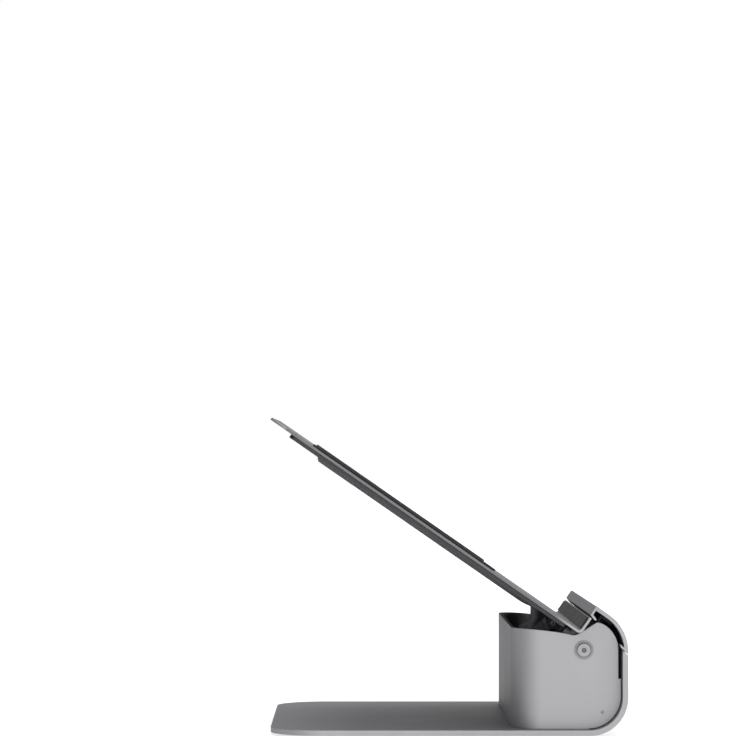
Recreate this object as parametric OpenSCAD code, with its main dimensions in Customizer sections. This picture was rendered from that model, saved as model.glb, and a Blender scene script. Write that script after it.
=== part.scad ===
// Adjustable laptop stand. A bent aluminium sheet is both the base and the upright front
// panel. A bucket shaped housing stands on it and carries the tray on two hinge screws.
// A knob in the front panel slides a wedge sideways under the tray's lever arm, and so
// raises and lowers the tray. Sizes are in millimetres and degrees.
// Side profiles are drawn as [depth back from the front face, height above the sheet's
// underside], and tray profiles as [distance up the tray, distance above the hinge line].

/* [Overall] */
// Width of the base sheet, the front panel, the tray and the front cover
panel_w = 240; // [220:1:300]
// Tilt of the tray above the level at its highest setting
tilt = 34.7; // [30:0.1:38]
// How far the tray can be lowered from its highest setting
tilt_travel = 12; // [8:0.5:13]

/* [Base sheet] */
// Depth of the base from the front face to its rear edge
base_d = 224; // [190:1:260]
// Thickness of the base sheet
sheet_t = 3.4; // [2.5:0.1:4]
// Outer radius of the bend between the base and the front panel
bend_r = 24; // [18:0.5:26]
// Radius of the base's two rear corners
base_corner_r = 34; // [15:1:50]
// Radius of the front panel's two top corners
panel_corner_r = 2; // [0.5:0.5:6]
// Height of the bevel along the front panel's top edge
bevel_h = 3.2; // [1:0.1:4]

/* [Housing] */
// Depth from the front face to the outside of the housing's rear wall
housing_d = 72; // [70:0.5:85]
// How far the housing's cheeks stand in from the sides of the base
housing_inset = 10; // [7:0.5:16]
// Thickness of the housing's wall
housing_t = 2; // [1.5:0.1:2.6]
// Radius of the housing's upright rear corners
housing_corner_r = 20; // [8:1:26]
// Height of the housing's rim at its rear wall
rim_z = 66.4; // [62:0.2:70]
// Gap between the housing and the inner face of the front panel
housing_gap = 0.4; // [0.2:0.1:1]
// Width of the slit between the cheek's front edge and the front panel
slit_w = 2; // [1:0.1:3]
// Height at which that slit starts
slit_z = 35; // [30:0.5:42]
// Width of the housing's foot flanges
flange_w = 11; // [10:0.5:13]
// Radius of the small dimple at the foot of each cheek
dimple_r = 0.9; // [0.5:0.1:1.5]

/* [Hinge] */
// Depth of the hinge line behind the front face, and outer radius of the front cover
pivot_u = 27.1; // [26:0.1:29]
// Height of the hinge line above the underside of the sheet
pivot_z = 53; // [52:0.5:58]
// Radius of the hinge screw's shoulder
shoulder_r = 3; // [2:0.1:3.4]
// Radius of the hinge screw's thread
thread_r = 2.5; // [1.8:0.1:2.5]
// Radius of the hinge screw's head
hinge_head_r = 4.4; // [4:0.1:5.5]
// Height of the hinge screw's head
hinge_head_h = 1.9; // [1.5:0.1:3]
// Radius of the washer under the head
washer_r = 5.8; // [5.5:0.1:7]
// Thickness of that washer
washer_t = 0.8; // [0.5:0.1:1.2]
// Height of the hinge nut
nut_h = 4; // [3:0.1:5]
// Corner radius of the hinge nut
nut_r = 5.4; // [4.6:0.1:6]
// Wall of the hinge bush
bush_t = 1.2; // [0.8:0.1:1.6]
// Radius of the hinge bush's flange
bush_flange_r = 6; // [5.6:0.1:6.6]
// Running clearance between the hinge screw and its bush
running_gap = 0.05; // [0.02:0.01:0.09]

/* [Tray] */
// Length of the tray from the hinge line to its rear edge
tray_len = 244; // [200:1:270]
// Thickness of the tray sheet
tray_t = 1.5; // [1.2:0.1:2]
// Height of the tray's underside above the hinge line
tray_n = 6.8; // [6.8:0.1:7.6]
// Radius of the tray's rear corners
tray_corner_r = 15; // [6:1:40]
// Distance of the upstand's front face from the hinge line
upstand_a = 7.9; // [7.5:0.1:9]
// Outer radius of the bend between tray and upstand
upstand_bend_r = 3; // [2.4:0.1:3.4]

/* [Tray bracket] */
// Thickness of the bracket's plate
bracket_t = 2.5; // [2:0.1:2.8]
// Distance from the hinge line to the bracket's rear end
bracket_len = 228; // [180:1:236]
// Radius of the ears round the hinge line
ear_r = 6.6; // [6:0.1:6.6]
// Distance from the hinge line to the rear edge of the ears
ear_l = 17; // [16:0.5:20]
// Width of the relief slot behind each ear
relief_w = 1.5; // [1:0.1:2]
// Radius of the two tabs that hold the lever arm
tab_r = 4; // [3.5:0.1:4.4]
// Radius of the tubular pin through the tabs and the lever arm
shaft_r = 1.6; // [1.2:0.1:1.8]

/* [Front cover] */
// Thickness of the cover
cover_t = 2.5; // [1.8:0.1:2.6]
// Gap between the cover and the top of the front panel
seam_gap = 0.4; // [0.3:0.1:1]
// Depth of the hem that is turned in along the seam
hem_w = 2.1; // [1:0.1:2.1]
// Thickness of that hem and of the lip's folds
fold_t = 1.4; // [0.8:0.1:1.6]
// Height of the lip's inner fold
lip_h = 6.2; // [5:0.1:6.6]
// Length of the lip's return fold
return_l = 4.6; // [3:0.1:4.8]
// Slope of the return fold
return_slope = 27; // [15:1:35]
// Radius of the corners at the lip's two ends
lip_corner_r = 2.4; // [1:0.1:3]
// Thickness of the rail that joins the cover to the tray
rail_t = 1.5; // [1:0.1:2]

/* [Lift] */
// Gap between the slider carriage and the end of the chassis, at both ends of its travel
end_gap = 6; // [4:1:16]
// How far the wedge runs on past the follower at both ends of the travel
wedge_run_out = 8; // [6:1:12]
// Radius of the guide rods
rod_r = 3; // [2:0.1:3.5]
// Wall of the bushes in the carriage
rod_bush_t = 1.4; // [1:0.1:2]
// Length of those bushes
rod_bush_l = 12; // [6:1:20]
// Wall of the carriage round its bushes
carriage_wall = 2.2; // [1.6:0.1:2.6]
// Thickness of the carriage's deck
deck_t = 5; // [3:0.5:8]
// Width of the wedge
wedge_w = 16; // [14:0.5:18]
// Radius of the follower's ball
ball_r = 4; // [3:0.1:4.5]
// Gap between the ball and the wedge
ball_gap = 0.15; // [0.1:0.05:0.3]
// Width of the lever arm
arm_w = 14; // [12:1:20]
// Radius of the lever arm's two ends
arm_r = 6; // [5:0.5:6.5]
// Distance from the hinge line to the lever arm's upright rear edge
arm_u = 27.4; // [26:0.1:29]
// Depth of the lever arm's spine below the bracket's plate
spine_h = 3; // [2:0.1:3.2]
// Distance from the bracket's rear end to the end of that spine
spine_gap = 21; // [12:1:40]
// Thickness of the chassis sheet
chassis_t = 2; // [1.5:0.1:2.4]
// Thickness of the clips on the rods
clip_t = 1; // [0.6:0.1:1.2]

/* [Knob and slot] */
// Height of the slot's centre line in the front panel
slot_z = 35; // [33:0.5:38]
// Height of the slot in the front panel
slot_h = 10; // [9:0.5:12]
// Wall of the liner in the slot
liner_t = 1; // [0.8:0.1:1.4]
// Width of the liner's flange behind the front panel
liner_flange = 2.5; // [1.5:0.1:3]
// Gap round the knob's stem in the liner
stem_gap = 0.4; // [0.2:0.1:0.6]
// Width of the knob's stem
stem_w = 12; // [10:0.5:16]
// Width of the knob
knob_w = 30; // [20:1:40]
// Height of the knob
knob_h = 14; // [12:0.5:18]
// How far the knob stands out of the front panel
knob_d = 6.5; // [5:0.1:7.5]
// Gap between the knob and the front panel
knob_gap = 0.4; // [0.2:0.1:0.8]

/* [Feet, pads and liner] */
// Thickness of the rubber feet
foot_h = 1.5; // [1:0.1:3]
// Radius of the rubber feet
foot_r = 9; // [5:0.5:12]
// Thickness of the tray's rubber pads
pad_t = 1.5; // [1:0.1:2.5]
// Width of those pads
pad_w = 18; // [10:1:24]
// Length of those pads
pad_l = 140; // [100:1:150]
// Distance from the bracket's rear end to the pads
pad_gap = 15; // [10:1:40]
// Thickness of the rubber strip in the lip
strip_t = 1; // [0.6:0.1:1.6]

/* [Fasteners] */
// Radius of the screws under the base
screw_r = 1.5; // [1.2:0.1:2]
// Length of those screws
screw_l = 5.2; // [4.8:0.1:5.4]
// Radius of their heads
screw_head_r = 2.9; // [2.4:0.1:3.4]
// Height of their heads
screw_head_h = 1.6; // [1.2:0.1:2]
// Radius of the rivets
rivet_r = 1.5; // [1:0.1:2]
// How far the heads of the rivets are wider than their shanks
rivet_rim = 1; // [0.6:0.1:1.2]
// Height of the rivets' heads
rivet_head_h = 0.8; // [0.6:0.1:1]
// Gap round a fastener in its hole
hole_gap = 0.05; // [0.02:0.01:0.1]

/* [Hidden] */
$fn = 64;

aluminium = [0.66, 0.66, 0.68];
dark_aluminium = [0.4, 0.4, 0.42];
steel = [0.55, 0.56, 0.58];
black_plastic = [0.09, 0.09, 0.1];
black_rubber = [0.06, 0.06, 0.06];
// How far cutting shapes run past what they cut
past = 1;

// The frame: the origin is under the middle of the whole stand
front_u = -knob_gap - knob_d;
tray_tip_u = pivot_u + tray_len * cos(tilt) - tray_n * sin(tilt);
middle_u = (front_u + max(base_d, tray_tip_u)) / 2;

// Planes across the width
cheek_out = panel_w / 2 - housing_inset;
cheek_in = cheek_out - housing_t;
ear_out = cheek_in - 1;
bush_flange_t = cheek_in - ear_out - 0.3;
ear_in = ear_out - bracket_t;
nut_out = ear_in - 0.3;
flange_in = cheek_in - flange_w;
chassis_out = flange_in - 1;
chassis_in = chassis_out - chassis_t;

// Front panel, seam and cover
panel_top = pivot_z + 0.3;
cover_r = pivot_u;
cover_in_r = cover_r - cover_t;
seam_slope = bevel_h / sheet_t;
seam_z = panel_top - bevel_h + seam_gap * norm([1, seam_slope]);

// Tray and upstand
tray_top_n = tray_n + tray_t;
bend_a = upstand_a + upstand_bend_r;
bend_n = tray_n + upstand_bend_r;
upstand_back_a = upstand_a + tray_t;
lip_back_a = upstand_back_a + 0.5;
fold_n = cover_r - lip_h;
return_tip = [lip_back_a - fold_t / 2 - (return_l - fold_t / 2) * cos(return_slope),
    fold_n + fold_t / 2 - (return_l - fold_t / 2) * sin(return_slope)];
upstand_top_n = return_tip[1] - fold_t / 2 - 0.1;
low_tilt = tilt - tilt_travel;

// Bracket and the lever arm's spine
web_n = tray_n - bracket_t;
web_front_a = bend_a + 1.2;
bracket_fold_r = bracket_t + 0.6;
bracket_corner_r = 4;
relief_in = ear_in - 3;
shaft_at = [17.6, 1.8];
tab_in = arm_w / 2 + hole_gap;
spine_n = web_n - spine_h;
spine_end = bracket_len - spine_gap;

// Housing rim: its notch clears the bend of the tray at the lowest setting
rim_gap = 1.1;
notch = [pivot_u + bend_a * cos(low_tilt) - bend_n * sin(low_tilt),
    pivot_z + bend_a * sin(low_tilt) + bend_n * cos(low_tilt) - upstand_bend_r - rim_gap];
cheek_u = sheet_t + slit_w;
ear_top = [pivot_u - 8.4, pivot_z + 17.2];
slit_top = [cheek_u, panel_top + 0.3];
boss_z = sheet_t + chassis_t;

// Lift mechanism
follower = [30, -14];
front_rod = [20, slot_z];
rear_rod = [pivot_u + follower[0] - 1.2, 20];
rod_bush_r = rod_r + running_gap + rod_bush_t;
tube_r = rod_bush_r + carriage_wall;
rod_half = chassis_out + clip_t + 2.4;
rod_margin = 8.5;
slider_travel = chassis_in - end_gap - wedge_run_out;
carriage_l = slider_travel + 2 * wedge_run_out;
carriage_rest = slider_travel / 2;
window_w = 16;
block_front_u = sheet_t + liner_t + 0.8;
block_back_u = front_rod[0] - tube_r + 2;

// Slot and knob
slot_l = slider_travel + stem_w + 2 * stem_gap + 2 * liner_t + 1.2;
stem_h = slot_h - 2 * liner_t - 2 * stem_gap;
block_wall = 4;

// Feet, pads and fasteners
foot_x = panel_w / 2 - base_corner_r;
foot_front_u = bend_r + foot_r + 2;
foot_rear_u = base_d - base_corner_r + 4;
pad_x = cheek_in - 17;
pad_start_a = bracket_len - pad_gap - pad_l;
flange_x = cheek_in - flange_w / 2;
flange_front_u = bend_r + 6;
flange_rear_u = housing_d - housing_corner_r + 2;
chassis_screw_x = chassis_in - 34;
chassis_front_u = bend_r + 1;
chassis_rear_u = housing_d - housing_t - 4;

// Maps tray coordinates to a side profile point, measured from the hinge line
function from_tray(p) = [p[0] * cos(tilt) - p[1] * sin(tilt), p[0] * sin(tilt) + p[1] * cos(tilt)];

// Points along a cubic curve through its two end points
function curve(p0, p1, p2, p3, n = 12) = [for (i = [0:n]) let (t = i / n)
    pow(1 - t, 3) * p0 + 3 * t * pow(1 - t, 2) * p1 + 3 * t * t * (1 - t) * p2 + pow(t, 3) * p3];

// The ball's centre over the carriage, as the share of the travel goes from 0 to 1
function ball_path(s) = [(s - 0.5) * slider_travel, pivot_z + follower[1] * cos(s * tilt_travel)
    - follower[0] * sin(s * tilt_travel)];

// The wedge's top, one ball radius and its gap below that path
function wedge_top(s) = let (d = ball_path(s + 0.01) - ball_path(s - 0.01), k = ball_r + ball_gap)
    ball_path(s) + [d[1], -d[0]] * k / norm(d);

// Sets a solid that is drawn from the front face and the sheet's underside into the frame
module placed() translate([0, -middle_u, foot_h]) children();

// Sets a solid that is drawn in tray coordinates at the hinge line and the tray's tilt
module on_tray() placed() translate([0, pivot_u, pivot_z]) rotate([tilt, 0, 0]) children();

// Runs a side profile across the width, from one place to another
module across(x0, x1) translate([x0, 0, 0]) rotate([90, 0, 90]) linear_extrude(x1 - x0) children();

module both_sides() {
    children();
    mirror([1, 0, 0]) children();
}

// A round bar along X at a point of the side profile
module bar(p, r, x0, x1) translate([x0, p[0], p[1]]) rotate([0, 90, 0]) cylinder(r = r, h = x1 - x0);

// A strip with two rounded ends
module link_outline(p, q, r) {
    d = q - p;
    translate(p) circle(r);
    translate(q) circle(r);
    translate(p) rotate(atan2(d[1], d[0])) translate([0, -r]) square([norm(d), 2 * r]);
}

// A slot shape, centred, with round ends
module slot_outline(l, h) link_outline([h / 2 - l / 2, 0], [l / 2 - h / 2, 0], h / 2);

// A rectangle from y = 0 back to y = d, with its two rear corners rounded
module plan_outline(w, d, r) {
    translate([-w / 2, 0]) square([w, d - r]);
    translate([r - w / 2, 0]) square([w - 2 * r, d]);
    for (side = [-1, 1]) translate([side * (w / 2 - r), d - r]) circle(r);
}

// A wedge of a plane that starts at the origin, from one angle to another under 180 degrees
module sector(r, a0, a1) polygon([[0, 0], for (i = [0:4]) let (a = a0 + (a1 - a0) * i / 4)
    r * 1.5 * [cos(a), sin(a)]]);

module ring_outline(outer, inner) difference() {
    circle(outer);
    circle(inner);
}

// A countersunk screw or its hole, with its head's face at z = 0 and its shank upwards
module countersunk(r, l, head_r, head_h) {
    cylinder(r = r, h = l);
    cylinder(r1 = head_r, r2 = r, h = head_h);
}

module base_screw() translate([0, 0, 0.1]) difference() {
    countersunk(screw_r, screw_l, screw_head_r, screw_head_h);
    translate([0, 0, -past]) cylinder(r = screw_r * 0.75, h = past + screw_head_h * 0.8, $fn = 6);
}

module base_screw_hole() {
    countersunk(screw_r + hole_gap, screw_l + sheet_t, screw_head_r + 2 * hole_gap, screw_head_h + hole_gap);
    translate([0, 0, -past]) cylinder(r = screw_head_r + 2 * hole_gap, h = past + 0.02);
}

module at_flange_screws() both_sides() for (u = [flange_front_u + 5, flange_rear_u - 6])
    translate([flange_x, u, 0]) children();

module at_chassis_screws() both_sides() for (u = [chassis_front_u + 9, chassis_rear_u - 9])
    translate([chassis_screw_x, u, 0]) children();

module bent_sheet_profile() difference() {
    union() {
        translate([bend_r, 0]) square([base_d - bend_r, sheet_t]);
        translate([0, bend_r]) square([sheet_t, panel_top - bend_r]);
        intersection() {
            translate([bend_r, bend_r]) ring_outline(bend_r, bend_r - sheet_t);
            square(bend_r);
        }
    }
    polygon([[-past, panel_top - bevel_h * (1 + past / sheet_t)], [sheet_t, panel_top],
        [sheet_t, panel_top + past], [-past, panel_top + past]]);
}

module base_panel() color(aluminium) placed() difference() {
    intersection() {
        across(-panel_w / 2, panel_w / 2) bent_sheet_profile();
        translate([0, 0, -past]) linear_extrude(panel_top + 2 * past)
            plan_outline(panel_w, base_d, base_corner_r);
        translate([0, base_d + past, 0]) rotate([90, 0, 0]) linear_extrude(base_d + 2 * past)
            plan_outline(panel_w, panel_top, panel_corner_r);
    }
    translate([0, sheet_t + past, slot_z]) rotate([90, 0, 0])
        linear_extrude(sheet_t + 2 * past) slot_outline(slot_l, slot_h);
    at_flange_screws() base_screw_hole();
    at_chassis_screws() base_screw_hole();
}

module cheek_outline() difference() {
    polygon(concat(
        [[housing_d + past, sheet_t], [housing_d + past, rim_z]],
        curve([housing_d, rim_z], [housing_d - 14, rim_z - 0.3], [notch[0] + 10, notch[1] + 2.4], notch),
        curve(notch, notch + [-4, 0.3], ear_top + [4.8, -2.2], ear_top),
        curve(ear_top, ear_top + [-5.2, 0], slit_top + [0, 9.4], slit_top),
        [[cheek_u, slit_z], [sheet_t + housing_gap, slit_z], [sheet_t + housing_gap, bend_r]],
        [for (i = [1:12]) let (a = 180 + i * 90 / 12)
            [bend_r, bend_r] + (bend_r - sheet_t - housing_gap) * [cos(a), sin(a)]],
        [[bend_r, sheet_t]]));
    translate([pivot_u, pivot_z]) circle(shoulder_r + hole_gap);
}

module housing() color(aluminium) placed() {
    difference() {
        intersection() {
            linear_extrude(pivot_z + cover_r) difference() {
                plan_outline(2 * cheek_out, housing_d, housing_corner_r);
                translate([0, -past]) plan_outline(2 * cheek_in, housing_d - housing_t + past,
                    housing_corner_r - housing_t);
            }
            across(-cheek_out - past, cheek_out + past) cheek_outline();
        }
        both_sides() bar([bend_r - 8.5, 14.1], dimple_r, cheek_out - housing_t * 0.4, cheek_out + past);
    }
    difference() {
        both_sides() translate([flange_in, flange_front_u, sheet_t])
            cube([flange_w + housing_t / 2, flange_rear_u - flange_front_u, chassis_t]);
        at_flange_screws() base_screw_hole();
    }
}

module rubber_feet() color(black_rubber) placed() both_sides()
    for (u = [foot_front_u, foot_rear_u]) translate([foot_x, u, -foot_h]) {
        cylinder(r = foot_r, h = foot_h);
    }

module housing_screws() color(steel) placed() at_flange_screws() base_screw();

module chassis_screws() color(steel) placed() at_chassis_screws() base_screw();

module chassis_end_outline() difference() {
    polygon([[chassis_front_u, sheet_t], [chassis_rear_u, sheet_t],
        [chassis_rear_u, rear_rod[1] + rod_margin], front_rod + [rod_margin + 3, rod_margin],
        front_rod + [-rod_margin, rod_margin], [front_rod[0] - rod_margin, bend_r - 4]]);
    translate(front_rod) circle(rod_r + hole_gap);
    translate(rear_rod) circle(rod_r + hole_gap);
}

module chassis() color(dark_aluminium) placed() {
    both_sides() across(chassis_in, chassis_out) chassis_end_outline();
    difference() {
        translate([-chassis_out, chassis_front_u, sheet_t])
            cube([2 * chassis_out, chassis_rear_u - chassis_front_u, chassis_t]);
        at_chassis_screws() base_screw_hole();
        for (x = [-1, 0, 1])
            translate([x * chassis_screw_x * 0.58, (chassis_front_u + chassis_rear_u) / 2, 0])
                linear_extrude(boss_z + past) slot_outline(chassis_screw_x * 0.36, window_w);
    }
}

module guide_rod(p) difference() {
    bar(p, rod_r, -rod_half, rod_half);
    both_sides() difference() {
        bar(p, rod_r + past, chassis_out, chassis_out + clip_t + 0.1);
        bar(p, rod_r - 0.5, chassis_out - past, chassis_out + clip_t + past);
    }
}

module guide_rod_front() color(steel) placed() guide_rod(front_rod);

module guide_rod_rear() color(steel) placed() guide_rod(rear_rod);

module rod_clips() color(steel) placed() both_sides() for (p = [front_rod, rear_rod])
    across(chassis_out + hole_gap, chassis_out + clip_t + hole_gap) translate(p) difference() {
        circle(rod_r + 2);
        circle(rod_r - 0.5 + hole_gap);
        translate([0, -1.6]) square([rod_r + 2 + past, 3.2]);
    }

module slot_liner() color(black_plastic) placed() translate([0, 0, slot_z]) rotate([90, 0, 0]) difference() {
    union() {
        translate([0, 0, -sheet_t]) linear_extrude(sheet_t)
            slot_outline(slot_l - 2 * hole_gap, slot_h - 2 * hole_gap);
        translate([0, 0, -sheet_t - liner_t]) linear_extrude(liner_t)
            slot_outline(slot_l + 2 * liner_flange, slot_h + 2 * liner_flange);
    }
    translate([0, 0, -sheet_t - liner_t - past]) linear_extrude(sheet_t + liner_t + 2 * past)
        slot_outline(slot_l - 2 * liner_t, slot_h - 2 * liner_t);
}

hinge_at = [pivot_u, pivot_z];
head_x = cheek_out + washer_t;

module hinge_screw() placed() difference() {
    union() {
        bar(hinge_at, thread_r, nut_out - nut_h - 1, nut_out + past);
        bar(hinge_at, shoulder_r, nut_out, head_x);
        bar(hinge_at, hinge_head_r, head_x, head_x + hinge_head_h - 0.4);
        translate([head_x + hinge_head_h - 0.4, pivot_u, pivot_z]) rotate([0, 90, 0])
            cylinder(r1 = hinge_head_r, r2 = hinge_head_r - 0.4, h = 0.4);
    }
    translate([head_x + 0.4, pivot_u, pivot_z]) rotate([0, 90, 0])
        cylinder(r = hinge_head_r * 0.36, h = hinge_head_h + past, $fn = 6);
}

module hinge_washer() placed() across(cheek_out, cheek_out + washer_t) translate(hinge_at)
    ring_outline(washer_r, shoulder_r + hole_gap);

module hinge_nut() placed() difference() {
    translate([nut_out - nut_h, pivot_u, pivot_z]) rotate([0, 90, 0])
        cylinder(r = nut_r, h = nut_h, $fn = 6);
    bar(hinge_at, thread_r + hole_gap, nut_out - nut_h - past, nut_out + past);
}

module hinge_bush() placed() difference() {
    union() {
        bar(hinge_at, shoulder_r + running_gap + bush_t, ear_in, ear_out);
        bar(hinge_at, bush_flange_r, ear_out, ear_out + bush_flange_t);
    }
    bar(hinge_at, shoulder_r + running_gap, ear_in - past, ear_out + bush_flange_t + past);
}

module hinge_screw_right() color(steel) hinge_screw();

module hinge_screw_left() color(steel) mirror([1, 0, 0]) hinge_screw();

module hinge_washer_right() color(aluminium) hinge_washer();

module hinge_washer_left() color(aluminium) mirror([1, 0, 0]) hinge_washer();

module hinge_nut_right() color(steel) hinge_nut();

module hinge_nut_left() color(steel) mirror([1, 0, 0]) hinge_nut();

module hinge_bush_right() color(black_plastic) hinge_bush();

module hinge_bush_left() color(black_plastic) mirror([1, 0, 0]) hinge_bush();

module tray_profile() {
    translate([bend_a, tray_n]) square([tray_len - bend_a, tray_t]);
    translate([upstand_a, bend_n]) square([tray_t, upstand_top_n - bend_n]);
    intersection() {
        translate([bend_a, bend_n]) ring_outline(upstand_bend_r, upstand_bend_r - tray_t);
        translate([upstand_a, tray_n]) square(upstand_bend_r);
    }
}

module at_tray_rivets() both_sides() for (i = [0:3])
    translate([pad_x, pad_start_a + pad_w / 2 + i * (pad_l - pad_w) / 3, 0]) children();

module at_spine_rivets() for (i = [0:3]) translate([0, 60 + i * (spine_end - 72) / 3, 0]) children();

// A rivet whose head lies flush in the face at z = 0, and its hole
module flush_rivet(l) translate([0, 0, hole_gap])
    countersunk(rivet_r, l - 2 * hole_gap, rivet_r + rivet_rim, rivet_head_h);

module flush_rivet_hole(l) {
    countersunk(rivet_r + hole_gap, l, rivet_r + rivet_rim + 2 * hole_gap, rivet_head_h + hole_gap);
    translate([0, 0, -past]) cylinder(r = rivet_r + rivet_rim + 2 * hole_gap, h = past + 0.02);
}

module at_rail_rivets() for (i = [-2:2]) translate([i * (ear_in - 20) / 2, 0, bend_n + 3.4]) children();

module tray_panel() color(aluminium) on_tray() difference() {
    intersection() {
        across(-panel_w / 2, panel_w / 2) tray_profile();
        linear_extrude(cover_r) plan_outline(panel_w, tray_len, tray_corner_r);
    }
    at_tray_rivets() cylinder(r = rivet_r + hole_gap, h = tray_top_n + past);
    at_rail_rivets() rotate([-90, 0, 0]) cylinder(r = rivet_r + hole_gap, h = upstand_back_a + past);
}

// A strip that runs along the seam over the front panel's bevel, from one height above it to another
module seam_strip(h0, h1) rotate(-tilt) translate([-pivot_u, seam_z - pivot_z])
    polygon([for (p = [[-past, h0], [bend_r / 2, h0], [bend_r / 2, h1], [-past, h1]])
        [p[0], p[0] * seam_slope + p[1] * norm([1, seam_slope])]]);

module cover_profile() {
    difference() {
        intersection() {
            ring_outline(cover_r, cover_in_r);
            sector(cover_r, 90, 192 - tilt);
        }
        seam_strip(-bend_r, 0);
    }
    intersection() {
        ring_outline(cover_in_r + cover_t / 2, cover_in_r - hem_w);
        seam_strip(0, fold_t);
    }
    translate([0, cover_in_r]) square([lip_back_a - 0.8, cover_t]);
    translate([lip_back_a - 0.8, cover_r - 0.8]) circle(0.8);
    translate([lip_back_a - fold_t, fold_n]) square([fold_t, lip_h - 0.8]);
    link_outline([lip_back_a - fold_t / 2, fold_n], return_tip, fold_t / 2);
}

module front_cover() color(aluminium) on_tray() intersection() {
    across(-panel_w / 2, panel_w / 2) cover_profile();
    translate([0, cover_r, -2 * cover_r]) rotate([90, 0, 0]) linear_extrude(3 * cover_r)
        plan_outline(panel_w, 3 * cover_r + 0.3, lip_corner_r);
}

module cover_rail() color(dark_aluminium) on_tray() difference() {
    across(2 - ear_in, ear_in - 2) intersection() {
        union() {
            translate([upstand_a - rail_t, bend_n]) square([rail_t, 8]);
            translate([1.5, bend_n + 8 - rail_t]) square([upstand_a - 1.5, rail_t]);
            translate([1.5, bend_n + 8 - rail_t]) square([rail_t, cover_r]);
            translate([-6, cover_in_r - rail_t - 0.6]) square([7.5 + rail_t, rail_t + 0.6]);
        }
        circle(cover_in_r);
    }
    at_rail_rivets() rotate([-90, 0, 0]) cylinder(r = rivet_r + hole_gap, h = upstand_a + past);
}

module rail_rivets() color(steel) on_tray() at_rail_rivets() rotate([-90, 0, 0]) {
    translate([0, 0, upstand_a - rail_t]) cylinder(r = rivet_r, h = rail_t + tray_t - hole_gap);
    translate([0, 0, upstand_a - rail_t - rivet_head_h])
        cylinder(r1 = rivet_r, r2 = rivet_r + rivet_rim, h = rivet_head_h);
}

module tray_rivets() color(steel) on_tray() {
    at_tray_rivets() translate([0, 0, web_n]) flush_rivet(bracket_t + tray_t);
    at_spine_rivets() translate([0, 0, spine_n]) flush_rivet(spine_h + bracket_t);
}

// Channel section of the bracket, as [across the width, distance above the hinge line]
module channel_outline() translate([0, -panel_w / 4]) difference() {
    plan_outline(2 * ear_out, panel_w / 4 + tray_n, bracket_fold_r);
    translate([0, -past])
        plan_outline(2 * ear_in, panel_w / 4 + web_n + past, bracket_fold_r - bracket_t);
}

module ear_region() {
    circle(ear_r);
    polygon([[1, ear_r - 0.4], [1, 2 - ear_r], [ear_l, 0], [ear_l, tray_n - 0.4]]);
}

// Plan of the bracket's plate, which stands back from the ears and from the relief slots behind them
module plate_outline() difference() {
    plan_outline(2 * ear_out, bracket_len, bracket_corner_r);
    translate([-panel_w / 2, -past]) square([panel_w, past + web_front_a + 0.5]);
    both_sides() translate([relief_in, -past]) square([panel_w, past + ear_l + relief_w]);
}

module tray_bracket() color(dark_aluminium) on_tray() difference() {
    union() {
        translate([0, 0, web_n]) linear_extrude(bracket_t) plate_outline();
        intersection() {
            rotate([90, 0, 180]) translate([0, 0, web_front_a])
                linear_extrude(ear_l + past - web_front_a) channel_outline();
            across(-ear_out - past, ear_out + past) {
                ear_region();
                translate([bend_a, web_n - 0.4]) square([ear_l - bend_a, bracket_t + past]);
            }
        }
        both_sides() across(ear_in, ear_out) intersection() {
            ear_region();
            translate([-ear_r - past, -cover_r]) square([web_front_a + ear_r + 2 * past, 2 * cover_r]);
        }
        both_sides() across(tab_in, tab_in + bracket_t) {
            translate(shaft_at) circle(tab_r);
            translate([shaft_at[0] - tab_r + 0.3, shaft_at[1]])
                square([2 * tab_r - 0.6, web_n + bracket_t / 2 - shaft_at[1]]);
        }
    }
    bar([0, 0], shoulder_r + running_gap + bush_t + hole_gap, -ear_out - past, ear_out + past);
    bar(shaft_at, shaft_r + hole_gap, -tab_in - bracket_t - past, tab_in + bracket_t + past);
    at_tray_rivets() translate([0, 0, web_n]) flush_rivet_hole(bracket_t + past);
    at_spine_rivets() cylinder(r = rivet_r + hole_gap, h = tray_n + past);
}

module cross_shaft() color(steel) on_tray() difference() {
    bar(shaft_at, shaft_r, -tab_in - bracket_t - 0.8, tab_in + bracket_t + 0.8);
    bar(shaft_at, shaft_r / 2, -panel_w / 2, panel_w / 2);
}

// Side profile of the lever arm, measured from the hinge line
module arm_profile() {
    foot = [follower[0], follower[1] + ball_r + arm_r + 2];
    boss = from_tray(shaft_at);
    translate(foot) circle(arm_r);
    translate(boss) circle(arm_r);
    polygon([[arm_u, boss[1] + arm_r + 6], [arm_u, boss[1] + 3.6], foot + [arm_r - 0.8, 11],
        foot + [arm_r - 0.8, 0.8], foot + [0.8 - arm_r, -2], boss + [-arm_r * 0.6, -arm_r * 0.6],
        boss + [-arm_r * 0.6, arm_r]]);
    rotate(tilt) polygon(concat([[shaft_at[0], web_n + past], [shaft_at[0], web_n - 1.7]],
        curve([arm_u + 6.6, web_n - 1.7], [arm_u + 10, web_n - 1.8], [arm_u + 12, spine_n],
            [arm_u + 18, spine_n]),
        [[spine_end - 2, spine_n], [spine_end, web_n - 1], [spine_end, web_n + past]]));
}

module lever_arm() color(dark_aluminium) placed() translate([0, pivot_u, pivot_z]) difference() {
    across(-arm_w / 2, arm_w / 2) difference() {
        arm_profile();
        rotate(tilt) translate([0, web_n]) square([bracket_len, cover_r]);
        translate(from_tray(shaft_at)) circle(shaft_r + hole_gap);
    }
    translate([0, follower[0], follower[1]]) cylinder(r = 2.5 + hole_gap, h = ball_r + 10);
    rotate([tilt, 0, 0]) at_spine_rivets() translate([0, 0, spine_n]) flush_rivet_hole(spine_h + past);
}

module follower_pin() color(steel) placed() translate([0, pivot_u + follower[0], pivot_z + follower[1]]) {
    sphere(ball_r);
    cylinder(r = 2.5, h = ball_r + 9.5);
}

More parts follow.
